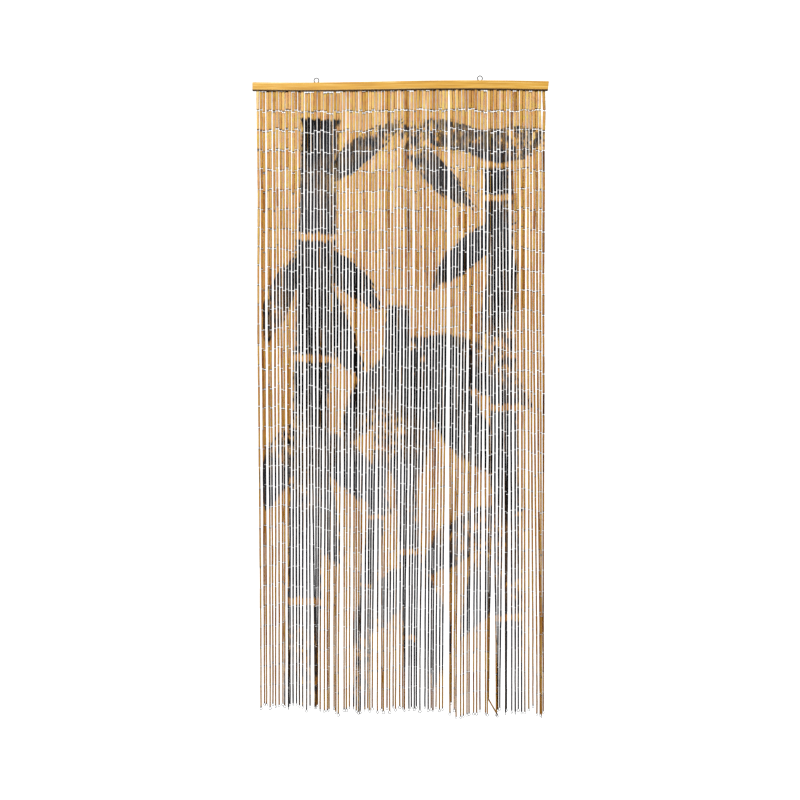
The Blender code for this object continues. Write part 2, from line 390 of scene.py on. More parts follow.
class Wiring:
    """Adds and links the nodes of one material or group."""

    def __init__(self, tree):
        self.tree = tree

    def add(self, kind, inputs=None, **settings):
        """A new node with its settings made and its inputs fed."""
        node = self.tree.nodes.new(kind)
        for name, value in settings.items():
            setattr(node, name, value)
        for name, value in (inputs or {}).items():
            self.feed(node.inputs[name], value)
        return node

    def feed(self, socket, value):
        """Links a socket, or sets it where the value is a plain one."""
        if isinstance(value, bpy.types.NodeSocket):
            self.tree.links.new(value, socket)
        else:
            socket.default_value = value

    def math(self, operation, *values, clamp=False):
        """The result of one sum on up to three values."""
        node = self.add("ShaderNodeMath", operation=operation, use_clamp=clamp)
        for socket, value in zip(node.inputs, values):
            self.feed(socket, value)
        return node.outputs[0]

    def noise(self, vector, scale, detail=2.0, roughness=0.5):
        """Soft noise from about 0.3 to 0.7."""
        node = self.add(
            "ShaderNodeTexNoise",
            {"Vector": vector, "Scale": scale, "Detail": detail, "Roughness": roughness},
        )
        return node.outputs["Fac"]

    def stretch(self, vector, scale):
        """Coordinates scaled along each axis."""
        return self.add("ShaderNodeMapping", {"Vector": vector, "Scale": scale}).outputs[0]

    def ramp(self, value, stops):
        """The colour at a value, from a table of places and colours."""
        node = self.add("ShaderNodeValToRGB", {"Fac": value})
        elements = node.color_ramp.elements
        while len(elements) < len(stops):
            elements.new(0.5)
        for element, (place, colour) in zip(elements, stops):
            element.position = place
            element.color = (*colour, 1.0)
        return node.outputs["Color"]

    def fit(self, value, low, high, to_low=0.0, to_high=1.0):
        """A value eased from one range into another, and held at its ends."""
        node = self.add(
            "ShaderNodeMapRange",
            {
                "Value": value,
                "From Min": low,
                "From Max": high,
                "To Min": to_low,
                "To Max": to_high,
            },
            interpolation_type="SMOOTHSTEP",
        )
        return node.outputs["Result"]

    def blend(self, share, a, b, blend_type="MIX"):
        """Two colours mixed by a share."""
        node = self.add("ShaderNodeMix", data_type="RGBA", blend_type=blend_type)
        self.feed(node.inputs["Factor"], share)
        self.feed(node.inputs[MIX_A], a)
        self.feed(node.inputs[MIX_B], b)
        return node.outputs[MIX_RESULT]

    def emboss(self, shader, height, distance, strength):
        """Raises a pattern a little under the finish."""
        node = self.add(
            "ShaderNodeBump", {"Height": height, "Distance": distance, "Strength": strength}
        )
        self.feed(shader["Normal"], node.outputs[0])


def new_group(name, inputs, outputs):
    """An empty node group with named sockets, its wiring, and its inlets and outlets."""
    group = bpy.data.node_groups.new(name, "ShaderNodeTree")
    for title, kind, default in inputs:
        socket = group.interface.new_socket(title, in_out="INPUT", socket_type=kind)
        if default is not None:
            socket.default_value = default
    for title, kind in outputs:
        group.interface.new_socket(title, in_out="OUTPUT", socket_type=kind)
    wiring = Wiring(group)
    inlet = wiring.add("NodeGroupInput")
    outlet = wiring.add("NodeGroupOutput")
    return group, wiring, inlet.outputs, outlet.inputs


# How often wood is blotched, for each metre
BLOTCH_SCALE = 55.0


def fibre_group():
    """Long wood fibres that run along Z of the given coordinates, in metres."""
    group, w, given, result = new_group(
        "wood fibre",
        (
            ("Vector", "NodeSocketVector", None),
            ("Across", "NodeSocketFloat", 700.0),
            ("Along", "NodeSocketFloat", 9.0),
        ),
        (("Streaks", "NodeSocketFloat"), ("Blotches", "NodeSocketFloat")),
    )
    scale = w.add(
        "ShaderNodeCombineXYZ",
        {"X": given["Across"], "Y": given["Across"], "Z": given["Along"]},
    )
    long_grain = w.stretch(given["Vector"], scale.outputs[0])
    w.feed(result["Streaks"], w.noise(long_grain, 1.0, 3.0, 0.6))
    w.feed(result["Blotches"], w.noise(given["Vector"], BLOTCH_SCALE, 2.0))
    return group


# A leaf's brush: how far its edge wanders, how sharp it is, its bristle lines and how they
# wander, and how far before the leaf's middle the brush begins to run dry
LEAF_RAGGED = 0.40
LEAF_EDGE = 7.0
LEAF_BRISTLES = 21.0
LEAF_BRISTLE_WANDER = 9.0
LEAF_DRY_START = 0.9

# A cane's brush: the same, then how much wider the cane is at its nodes and over what share of
# a segment, the gap at a node, how far the gap wanders, and how sharp gaps and ends are
CANE_RAGGED = 0.5
CANE_EDGE = 6.0
CANE_BRISTLES = 17.0
CANE_BRISTLE_WANDER = 8.0
CANE_FLARE = 0.22
CANE_FLARE_REACH = 0.12
CANE_GAP = 0.022
CANE_GAP_WANDER = 0.05
CANE_GAP_EDGE = 60.0
CANE_END_EDGE = 30.0


def leaf_group():
    """One lens-shaped leaf of a loaded brush, laid over the ink that is there already."""
    group, w, given, result = new_group(
        "brushed leaf",
        (
            ("Ink", "NodeSocketFloat", 0.0),
            ("Panel", "NodeSocketVector", None),
            ("Wobble", "NodeSocketFloat", 0.5),
            ("Centre", "NodeSocketVector", None),
            ("Turn", "NodeSocketVector", None),
            ("Half size", "NodeSocketVector", None),
            ("Bend", "NodeSocketFloat", 0.0),
            ("Dryness", "NodeSocketFloat", 0.5),
        ),
        (("Ink", "NodeSocketFloat"),),
    )
    placed = w.add(
        "ShaderNodeMapping",
        {
            "Vector": given["Panel"],
            "Location": given["Centre"],
            "Rotation": given["Turn"],
            "Scale": given["Half size"],
        },
        vector_type="TEXTURE",
    )
    local = w.add("ShaderNodeSeparateXYZ", {0: placed.outputs[0]}).outputs
    along_squared = w.math("MULTIPLY", local["X"], local["X"])
    across = w.math("MULTIPLY_ADD", along_squared, given["Bend"], local["Y"])
    half_width = w.math("SUBTRACT", 1.0, along_squared)
    inside = w.math("SUBTRACT", half_width, w.math("ABSOLUTE", across))
    wobble = w.math("SUBTRACT", given["Wobble"], 0.5)
    ragged = w.math("MULTIPLY_ADD", wobble, LEAF_RAGGED, inside)
    lines = w.math("MULTIPLY", across, LEAF_BRISTLES)
    bristle_place = w.math("MULTIPLY_ADD", given["Wobble"], LEAF_BRISTLE_WANDER, lines)
    bristles = w.math("MULTIPLY", w.math("SINE", bristle_place), given["Dryness"])
    running_dry = w.math("MULTIPLY", bristles, w.math("ADD", local["X"], LEAF_DRY_START))
    ink = w.math("MULTIPLY_ADD", ragged, LEAF_EDGE, running_dry, clamp=True)
    w.feed(result["Ink"], w.math("MAXIMUM", ink, given["Ink"]))
    return group


def cane_group():
    """One upright cane of a wide brush, lifted a little at each of its nodes."""
    group, w, given, result = new_group(
        "brushed cane",
        (
            ("Ink", "NodeSocketFloat", 0.0),
            ("Panel", "NodeSocketVector", None),
            ("Wobble", "NodeSocketFloat", 0.5),
            ("Foot", "NodeSocketVector", None),
            ("Turn", "NodeSocketVector", None),
            ("Segment", "NodeSocketVector", None),
            ("Segments", "NodeSocketFloat", 5.0),
            ("Dryness", "NodeSocketFloat", 0.5),
        ),
        (("Ink", "NodeSocketFloat"),),
    )
    placed = w.add(
        "ShaderNodeMapping",
        {
            "Vector": given["Panel"],
            "Location": given["Foot"],
            "Rotation": given["Turn"],
            "Scale": given["Segment"],
        },
        vector_type="TEXTURE",
    )
    local = w.add("ShaderNodeSeparateXYZ", {0: placed.outputs[0]}).outputs
    step = w.math("SUBTRACT", w.math("FRACT", local["Y"]), 0.5)
    to_node = w.math("SUBTRACT", 0.5, w.math("ABSOLUTE", step))
    flare = w.fit(to_node, 0.0, CANE_FLARE_REACH, CANE_FLARE, 0.0)
    inside = w.math("ADD", w.math("SUBTRACT", 1.0, w.math("ABSOLUTE", local["X"])), flare)
    wobble = w.math("SUBTRACT", given["Wobble"], 0.5)
    ragged = w.math("MULTIPLY_ADD", wobble, CANE_RAGGED, inside)
    off_gap = w.math("SUBTRACT", to_node, CANE_GAP)
    off_gap = w.math("MULTIPLY_ADD", wobble, CANE_GAP_WANDER, off_gap)
    below_tip = w.math("SUBTRACT", given["Segments"], local["Y"])
    off_ends = w.math("MINIMUM", local["Y"], below_tip)
    shape = w.math("MULTIPLY", ragged, CANE_EDGE)
    shape = w.math("MINIMUM", shape, w.math("MULTIPLY", off_gap, CANE_GAP_EDGE))
    shape = w.math("MINIMUM", shape, w.math("MULTIPLY", off_ends, CANE_END_EDGE))
    lines = w.math("MULTIPLY", local["X"], CANE_BRISTLES)
    bristle_place = w.math("MULTIPLY_ADD", given["Wobble"], CANE_BRISTLE_WANDER, lines)
    bristles = w.math("MULTIPLY", w.math("SINE", bristle_place), given["Dryness"])
    ink = w.math("ADD", shape, bristles, clamp=True)
    w.feed(result["Ink"], w.math("MAXIMUM", ink, given["Ink"]))
    return group


# The painted canes: x of the foot, its height, the lean in degrees, the half width,
# the length of a segment, the number of segments, and how dry the brush was (metres)
CANES = (
    (-0.300, -1.960, -2.0, 0.058, 0.370, 5.0, 0.3),
    (0.075, -1.960, 3.5, 0.036, 0.260, 4.9, 0.3),
    (0.345, -1.960, 1.5, 0.042, 0.320, 5.3, 0.3),
    (-0.120, -1.960, -5.0, 0.026, 0.210, 6.1, 0.5),
)

# The painted leaves, in fans that spring from the canes: x and height of the middle, the turn
# in degrees, half length, half width, bend, and how dry the brush was (metres)
LEAVES = (
    (0.160, -0.170, -12, 0.180, 0.048, 0.4, 0.6),
    (0.100, -0.270, -48, 0.190, 0.045, -0.4, 0.5),
    (-0.120, -0.220, 40, 0.170, 0.044, 0.4, 0.7),
    (0.330, -0.200, 8, 0.150, 0.060, -0.3, 0.4),
    (0.220, -0.520, 39, 0.170, 0.050, 0.4, 0.5),
    (0.310, -0.650, 80, 0.200, 0.052, -0.4, 0.4),
    (-0.170, -0.590, -36, 0.170, 0.052, 0.4, 0.6),
    (-0.210, -0.730, -65, 0.230, 0.058, -0.4, 0.5),
    (-0.360, -0.660, 67, 0.160, 0.046, 0.4, 0.6),
    (0.230, -0.870, -29, 0.220, 0.074, 0.4, 0.4),
    (0.180, -1.020, -62, 0.250, 0.080, -0.4, 0.3),
    (-0.060, -0.950, 49, 0.210, 0.074, 0.4, 0.4),
    (0.040, -1.080, 83, 0.250, 0.070, 0.3, 0.3),
    (-0.160, -1.170, -40, 0.210, 0.068, 0.4, 0.4),
    (-0.250, -1.280, -76, 0.230, 0.066, -0.4, 0.4),
    (-0.360, -1.160, 64, 0.170, 0.060, 0.4, 0.5),
    (0.210, -1.390, 35, 0.200, 0.068, 0.4, 0.4),
    (0.290, -1.500, 72, 0.230, 0.066, -0.4, 0.4),
    (-0.030, -1.580, 45, 0.190, 0.064, 0.4, 0.4),
    (0.110, -1.660, -81, 0.200, 0.058, 0.3, 0.5),
)

# Bamboo: the tones that a tube can have, how strongly streaks and blotches shift its own, and
# the tint of its blotches
BAMBOO_TONES = (
    (0.00, (0.100, 0.038, 0.010)),
    (0.10, (0.270, 0.110, 0.026)),
    (0.28, (0.460, 0.235, 0.060)),
    (0.45, (0.570, 0.325, 0.085)),
    (0.58, (0.570, 0.345, 0.150)),
    (0.72, (0.660, 0.425, 0.130)),
    (1.00, (0.740, 0.530, 0.260)),
)
STREAK_SHIFT = 0.55
BLOTCH_SHIFT = 0.35
BLOTCH_TINTS = (
    (0.34, (1.02, 0.92, 1.10)),
    (0.50, (1.00, 1.00, 1.00)),
    (0.66, (0.94, 1.00, 0.74)),
)

# The bamboo dims and browns towards the hem, by shares of this depth below the eyes. Partly it is
# the lower tubes' own browner tone, partly painted shade
FULL_DEPTH = 2.0
DEPTH_TONE_AND_SHADE = (
    (0.04, (0.95, 0.95, 0.93)),
    (0.12, (0.90, 0.86, 0.78)),
    (0.30, (0.74, 0.62, 0.50)),
    (0.55, (0.66, 0.54, 0.39)),
    (0.95, (0.59, 0.49, 0.30)),
)

# Brown of the cut ends: over what share of a tube it fades, and how strong it is
END_BROWN = (0.045, 0.026, 0.014)
END_FADE = (0.01, 0.08)
STAIN_GAIN = 1.3
STAIN_LEAST = 0.15

# Charcoal paint, fresh and worn to grey. Greyness has areas and streaks, and its share differs
# with the depth below the eyes
PAINT = (0.0015, 0.0017, 0.0022)
PAINT_WORN = (0.023, 0.024, 0.028)
GREY_SCALE = 2.6
GREY_AREAS = (0.40, 0.58)
GREY_STREAKS = 0.3
GREY_SHARES = (
    (0.22, (1.00, 1.00, 1.00)),
    (0.38, (0.30, 0.30, 0.30)),
    (0.52, (0.30, 0.30, 0.30)),
    (0.62, (1.00, 1.00, 1.00)),
)

# How paint covers: the ragged edge of a stroke, the specks that stayed bare, more of them where
# it is worn, where a worn coat is thin, and how far round a tube's front it reaches
RAGGED_STRETCH = (1.0, 0.7, 1.0)
RAGGED_SCALE = 34.0
SPECK_STRETCH = (1.0, 0.55, 1.0)
SPECK_SCALE = 62.0
SPECK_EDGE = (-0.035, 0.02)
WORN_SCALE = 3.1
WORN_AREAS = (0.48, 0.64)
BARE_LEAST = 0.24
BARE_WHERE_WORN = 0.22
THIN_SPOTS = (0.62, 0.42)
THINNING = 0.4
PAINTED_FRONT = (-0.12, 0.22)

BAMBOO_ROUGHNESS = 0.42
PAINT_ROUGHNESS = 0.62

# Lacquered wood: the honey tones of its grain, how fine that is across and along the batten,
# and the dark band along its lower edge, which is painted shade of the batten's underside
BATTEN_TONES = (
    (0.36, (0.355, 0.162, 0.015)),
    (0.45, (0.465, 0.237, 0.027)),
    (0.53, (0.540, 0.296, 0.042)),
    (0.60, (0.630, 0.415, 0.125)),
)
BATTEN_ACROSS = 330.0
BATTEN_ALONG = 7.0
FIGURE_STRETCH = (120.0, 120.0, 3.0)
SHADE_BAND_BROWN = (0.055, 0.025, 0.005)
SHADE_BAND_FADE = (2.8 * MM, 5.4 * MM)

# Wire: the darkest and lightest shade of its specks, how many there are, and how dull it is
# The plated wire of links, loops and hooks is drawn dark, partly as painted shade of the joints
ZINC_TONES_WITH_SHADE = (0.03, 0.14)
AGED_SHADES = (0.01, 0.03)
WIRE_SPECKS = 900.0
WIRE_ROUGHNESS = (0.28, 0.5)


def chain_strokes(w, panel, wobble, leaf, cane):
    """The whole painted design as one value: every cane and leaf laid over the ones before."""
    ink = 0.0
    for x, z, lean, half_width, segment, count, dryness in CANES:
        stroke = {
            "Ink": ink,
            "Panel": panel,
            "Wobble": wobble,
            "Foot": (x, z, 0.0),
            "Turn": (0.0, 0.0, math.radians(lean)),
            "Segment": (half_width, segment, 1.0),
            "Segments": count,
            "Dryness": dryness,
        }
        ink = w.add("ShaderNodeGroup", stroke, node_tree=cane).outputs["Ink"]
    for x, z, turn, half_length, half_width, bend, dryness in LEAVES:
        stroke = {
            "Ink": ink,
            "Panel": panel,
            "Wobble": wobble,
            "Centre": (x, z, 0.0),
            "Turn": (0.0, 0.0, math.radians(turn)),
            "Half size": (half_length, half_width, 1.0),
            "Bend": bend,
            "Dryness": dryness,
        }
        ink = w.add("ShaderNodeGroup", stroke, node_tree=leaf).outputs["Ink"]
    return ink


def new_material(name):
    """A material, its wiring and the sockets of its shader."""
    material = bpy.data.materials.new(name)
    material.use_nodes = True
    wiring = Wiring(material.node_tree)
    shader = material.node_tree.nodes["Principled BSDF"]
    return material, wiring, shader.inputs


def bare_bamboo(w, grain, tone, depth):
    """Bare bamboo: each tube's own tone, streaked, blotched, and dimmer towards the hem.

    The dimming is partly painted shade.
    """
    streaks = w.math("SUBTRACT", grain["Streaks"], 0.5)
    blotches = w.math("SUBTRACT", grain["Blotches"], 0.5)
    uneven = w.math("MULTIPLY_ADD", streaks, STREAK_SHIFT, tone)
    uneven = w.math("MULTIPLY_ADD", blotches, BLOTCH_SHIFT, uneven)
    wood = w.ramp(uneven, BAMBOO_TONES)
    # Darker and browner towards the hem: partly the tubes' own tone, partly painted shade
    wood = w.blend(1.0, wood, w.ramp(depth, DEPTH_TONE_AND_SHADE), "MULTIPLY")
    return w.blend(1.0, wood, w.ramp(grain["Blotches"], BLOTCH_TINTS), "MULTIPLY")


def brown_ends(w, wood, along, stain):
    """The wood with its cut ends browned, some more than others."""
    from_end = w.math("MINIMUM", along, w.math("SUBTRACT", 1.0, along))
    near_end = w.fit(from_end, *END_FADE, 1.0, 0.0)
    stained = w.math("MULTIPLY_ADD", stain, STAIN_GAIN, STAIN_LEAST, clamp=True)
    return w.blend(w.math("MULTIPLY", near_end, stained), wood, (*END_BROWN, 1.0))


def paint_cover(w, panel, front, leaf, cane):
    """How far paint covers the tubes: where strokes run, on their fronts, but for bare specks."""
    wobble = w.noise(w.stretch(panel, RAGGED_STRETCH), RAGGED_SCALE, 3.0, 0.65)
    ink = chain_strokes(w, panel, wobble, leaf, cane)
    specks = w.noise(w.stretch(panel, SPECK_STRETCH), SPECK_SCALE, 3.0, 0.6)
    worn = w.fit(w.noise(panel, WORN_SCALE, 1.0), *WORN_AREAS)
    bare = w.math("MULTIPLY_ADD", worn, BARE_WHERE_WORN, BARE_LEAST)
    cover = w.fit(w.math("SUBTRACT", specks, bare), *SPECK_EDGE)
    thin = w.math("MULTIPLY", w.fit(specks, *THIN_SPOTS), worn)
    cover = w.math("MULTIPLY", cover, w.math("MULTIPLY_ADD", thin, -THINNING, 1.0))
    facing = w.fit(front, *PAINTED_FRONT)
    return w.math("MULTIPLY", w.math("MULTIPLY", ink, cover), facing)


def paint_colour(w, panel, grain, depth):
    """Charcoal paint, worn to grey in areas and streaks."""
    areas = w.fit(w.noise(panel, GREY_SCALE, 1.0), *GREY_AREAS)
    greyed = w.math("MULTIPLY_ADD", grain["Streaks"], GREY_STREAKS, areas)
    greyed = w.math("MULTIPLY", greyed, w.ramp(depth, GREY_SHARES), clamp=True)
    return w.blend(greyed, (*PAINT, 1.0), (*PAINT_WORN, 1.0))


def bamboo_material(fibre, leaf, cane):
    """Bamboo tubes, each of its own tone, with charcoal brush strokes over their fronts."""
    material, w, shader = new_material("painted_bamboo")
    place = w.add("ShaderNodeTexCoord").outputs["Object"]
    panel = w.add("ShaderNodeUVMap", uv_map="panel").outputs[0]
    tone, along, front, stain = (
        w.add("ShaderNodeAttribute", attribute_name=name).outputs["Fac"]
        for name in ("tone", "along", "front", "stain")
    )
    grain = w.add("ShaderNodeGroup", {"Vector": place}, node_tree=fibre).outputs
    height = w.add("ShaderNodeSeparateXYZ", {0: place}).outputs["Z"]
    depth = w.math("MULTIPLY", height, -1.0 / FULL_DEPTH)
    wood = brown_ends(w, bare_bamboo(w, grain, tone, depth), along, stain)
    paint = paint_colour(w, panel, grain, depth)
    cover = paint_cover(w, panel, front, leaf, cane)
    w.feed(shader["Base Color"], w.blend(cover, wood, paint))
    w.feed(shader["Roughness"], w.fit(cover, 0.0, 1.0, BAMBOO_ROUGHNESS, PAINT_ROUGHNESS))
    shader["Specular IOR Level"].default_value = 0.05
    w.emboss(shader, grain["Streaks"], 0.4 * MM, 0.25)
    return material


def batten_material(fibre):
    """Honey-coloured lacquered wood, with its grain along the wave of the batten.

    A dark band of painted shade runs along its lower edge.
    """
    material, w, shader = new_material("lacquered_wood")
    place = w.add("ShaderNodeTexCoord").outputs["Object"]
    xyz = w.add("ShaderNodeSeparateXYZ", {0: place}).outputs
    phase = w.math("MULTIPLY", w.math("SUBTRACT", xyz["X"], WARP_START), math.pi / WARP_HALF_WAVE)
    wave = w.math("MULTIPLY", w.math("SINE", phase), WARP_HEIGHT)
    level = w.math("SUBTRACT", xyz["Z"], wave)
    swapped = w.add("ShaderNodeCombineXYZ", {"X": level, "Y": xyz["Y"], "Z": xyz["X"]})
    lengthwise = swapped.outputs[0]
    grain = w.add(
        "ShaderNodeGroup",
        {"Vector": lengthwise, "Across": BATTEN_ACROSS, "Along": BATTEN_ALONG},
        node_tree=fibre,
    ).outputs
    figure = w.noise(w.stretch(lengthwise, FIGURE_STRETCH), 1.0, 2.0)
    shade = w.math("MULTIPLY_ADD", grain["Streaks"], 0.6, w.math("MULTIPLY", figure, 0.4))
    wood = w.ramp(shade, BATTEN_TONES)
    # Painted shade: a dark brown band along the lower edge, following the batten's wave and flare
    slope = BATTEN_FLARE / (BATTEN_RIGHT - BATTEN_LEFT)
    bottom = BATTEN_HEIGHT + HANG_LEVEL + EYE_CENTRE_RISE
    bottom -= slope * (BATTEN_LEFT + BATTEN_RIGHT) / 2
    above_bottom = w.math("ADD", w.math("MULTIPLY_ADD", xyz["X"], slope, bottom), level)
    shade_band = w.fit(above_bottom, *SHADE_BAND_FADE, 1.0, 0.0)
    w.feed(shader["Base Color"], w.blend(shade_band, wood, (*SHADE_BAND_BROWN, 1.0)))
    w.feed(shader["Roughness"], w.fit(grain["Streaks"], 0.2, 0.8, 0.36, 0.52))
    shader["Specular IOR Level"].default_value = 0.16
    shader["Coat Weight"].default_value = 0.04
    shader["Coat Roughness"].default_value = 0.35
    w.emboss(shader, shade, 0.5 * MM, 0.3)
    return material


def wire_material(name, shades):
    """Dull plated wire, a little uneven."""
    material, w, shader = new_material(name)
    place = w.add("ShaderNodeTexCoord").outputs["Object"]
    specks = w.noise(place, WIRE_SPECKS, 2.0)
    dark, light = shades
    colour = w.ramp(specks, ((0.3, (dark, dark, dark)), (0.7, (light, light, light))))
    w.feed(shader["Base Color"], colour)
    w.feed(shader["Roughness"], w.fit(specks, 0.3, 0.7, *WIRE_ROUGHNESS))
    shader["Metallic"].default_value = 1.0
    shader["Specular Tint"].default_value = (0.3, 0.3, 0.3, 1.0)
    return material


def stage_material():
    """A floor as white as the room behind it, which lights the curtain only a little."""
    material, w, shader = new_material("white_floor")
    seen = w.add("ShaderNodeLightPath").outputs["Is Camera Ray"]
    shader["Base Color"].default_value = (0.0, 0.0, 0.0, 1.0)
    shader["Specular IOR Level"].default_value = 0.0
    shader["Emission Color"].default_value = (1.0, 1.0, 1.0, 1.0)
    glow = w.math("MULTIPLY_ADD", seen, ROOM_WHITE - FLOOR_GLOW, FLOOR_GLOW)
    w.feed(shader["Emission Strength"], glow)
    return material


def start(name):
    """Names the primitive that was added last, and hands it over."""
    piece = bpy.context.object
    piece.name = name
    piece.data.name = name
    return piece


def pick_faces(piece, test):
    """Selects the faces that pass the test, from object mode, and enters edit mode."""
    bpy.ops.object.mode_set(mode="EDIT")
    bpy.ops.mesh.select_mode(type="FACE")
    bpy.ops.mesh.select_all(action="DESELECT")
    bpy.ops.object.mode_set(mode="OBJECT")
    for face in piece.data.polygons:
        face.select = test(face)
    bpy.ops.object.mode_set(mode="EDIT")


def tube_master():
    """One tube of unit radius and length, bored at both ends."""
    bpy.ops.object.select_all(action="DESELECT")
    bpy.ops.mesh.primitive_cylinder_add(vertices=TUBE_SIDES, radius=1.0, depth=1.0)
    tube = start("tube_master")
    bpy.ops.object.mode_set(mode="EDIT")
    for height in TUBE_RINGS:
        bpy.ops.mesh.select_all(action="SELECT")
        bpy.ops.mesh.bisect(plane_co=(0, 0, height), plane_no=(0, 0, 1))
    bpy.ops.object.mode_set(mode="OBJECT")
    pick_faces(tube, lambda face: abs(face.normal.z) > END_NORMAL)
    bpy.ops.mesh.inset(thickness=BORE_WALL, use_individual=True)
    bpy.ops.mesh.extrude_faces_move(TRANSFORM_OT_shrink_fatten={"value": -BORE_DEPTH})
    bpy.ops.object.mode_set(mode="OBJECT")
    return tube


def ring_master(name, radius, wire, around, sides):
    """One wire ring that stands in the XZ plane."""
    bpy.ops.object.select_all(action="DESELECT")
    bpy.ops.mesh.primitive_torus_add(
        major_radius=radius,
        minor_radius=wire,
        major_segments=around,
        minor_segments=sides,
        rotation=(math.pi / 2, 0, 0),
    )
    ring = start(name)
    bpy.ops.object.transform_apply(location=True, rotation=True, scale=True)
    return ring


def shape_of(master):
    """The points and faces of a master, which is then removed."""
    points = np.array([v.co for v in master.data.vertices])
    faces = [tuple(face.vertices) for face in master.data.polygons]
    bpy.data.objects.remove(master, do_unlink=True)
    return points, faces


def join_copies(name, points, faces, material):
    """One piece that joins many copies of a shape, given the points of each copy."""
    copies, count = points.shape[:2]
    all_faces = [
        tuple(copy * count + corner for corner in face)
        for copy in range(copies)
        for face in faces
    ]
    mesh = bpy.data.meshes.new(name)
    mesh.from_pydata(points.reshape(-1, 3), [], all_faces)
    mesh.update()
    mesh.shade_smooth()
    mesh.set_sharp_from_angle(angle=SMOOTH_ANGLE)
    mesh.materials.append(material)
    piece = bpy.data.objects.new(name, mesh)
    bpy.context.scene.collection.objects.link(piece)
    return piece


def put_values(piece, name, values):
    """Gives each point of a piece a value that its material reads."""
    attribute = piece.data.attributes.new(name, "FLOAT", "POINT")
    attribute.data.foreach_set("value", values.astype(np.float32).ravel())


def put_map(piece, name, corners):
    """Gives each face corner of a piece a place on a flat map."""
    layer = piece.data.uv_layers.new(name=name)
    layer.uv.foreach_set("vector", corners.astype(np.float32).ravel())


def tube_layout(points, faces):
    """Where each face corner of the tube lies on an unrolled sheet, from 0 to 1 both ways."""
    corners = []
    for face in faces:
        ring = points[list(face)]
        middle = ring.mean(axis=0)
        if len(face) > 4:
            floor = BORE_FLOORS[0 if middle[2] < 0 else 1]
            wide, tall = BORE_FLOOR_SIZE
            corners += [(0.5 + x * wide, floor + y * tall) for x, y, _ in ring]
            continue
        turn = math.atan2(middle[1], middle[0])
        for x, y, z in ring:
            off = (math.atan2(y, x) - turn + math.pi) % math.tau - math.pi
            around = ((turn + off) / math.tau + 0.5) * SHEET_WIDTH + SHEET_MARGIN
            depth = 0.5 - abs(z)
            reach = SIDE_REACH - depth * SIDE_STRETCH
            if math.hypot(x, y) < INSIDE_RIM:
                reach = SIDE_REACH + RIM_REACH + depth * BORE_STRETCH
            corners.append((around, 0.5 + math.copysign(reach, z)))
    return np.array(corners)


class PlainTube:
    """The points and faces that every tube starts from, and which points are its rings."""

    def __init__(self):
        self.points, self.faces = shape_of(tube_master())
        self.layout = tube_layout(self.points, self.faces)
        self.corners = np.array([corner for face in self.faces for corner in face])
        self.x, self.y, self.z = self.points.T
        self.bored = np.hypot(self.x, self.y) < INSIDE_RIM
        self.lower, self.middle, self.upper = (
            np.isclose(self.z, height) & ~self.bored for height in TUBE_RINGS
        )


def tube_ends(joints, bead):
    """A tube's two ends, each half a gap off its joint, and the way from one to the other."""
    top, bottom = joints[bead], joints[bead + 1]
    axis = (bottom - top).normalized()
    gap = mix(TOP_GAP, LOW_GAP, bead / BEADS)
    gap += TOP_GAP_EXTRA * math.exp(-bead / GAP_EXTRA_FADE)
    gap *= 1.0 + rng.uniform(-1, 1) * TUBE_GAP_SCATTER
    top = top + axis * (gap / 2 if bead else 0.0)
    bottom = bottom - axis * (gap / 2 if bead < BEADS - 1 else 0.0)
    return top, bottom, axis


def grow_tube(plain, joints, bead):
    """One uneven tube between two joints.

    Returns its points and, for each, the share of the way down, whether it is above the tube's
    own node, and its direction from the axis, sideways and forward.
    """
    top, bottom, axis = tube_ends(joints, bead)
    side = axis.cross(Vector((0, 1, 0))).normalized()
    ahead = side.cross(axis)
    middle = rng.uniform(-NODE_PLACE, NODE_PLACE)
    noded = rng.random() < NODE_SHARE
    reach = NODE_REACH if noded else PLAIN_REACH
    height = plain.z.copy()
    height[plain.upper] = middle + reach
    height[plain.middle] = middle
    height[plain.lower] = middle - reach
    width = np.ones(len(height)) * (1.0 + rng.uniform(-1, 1) * TUBE_WIDTH_SCATTER)
    swell = NODE_SWELL if noded else rng.uniform(-TUBE_MIDDLE_SCATTER, TUBE_MIDDLE_SCATTER)
    width[plain.middle] *= 1.0 + swell
    width[plain.upper] *= 1.0 + rng.uniform(-TUBE_UPPER_SCATTER, TUBE_UPPER_SCATTER)
    share = 0.5 - height
    spin = rng.uniform(0, math.tau)
    sideways = plain.x * math.cos(spin) - plain.y * math.sin(spin)
    forward = plain.x * math.sin(spin) + plain.y * math.cos(spin)
    radius = np.array([bead_radius(bead + s) for s in share]) * width
    crook = (1.0 - (2.0 * height) ** 2) * rng.uniform(-1, 1) ** 3 * TUBE_CROOK
    points = (
        np.outer(1.0 - share, top)
        + np.outer(share, bottom)
        + np.outer(sideways * radius + crook, side)
        + np.outer(forward * radius, ahead)
    )
    return points, share, height > middle, sideways, forward


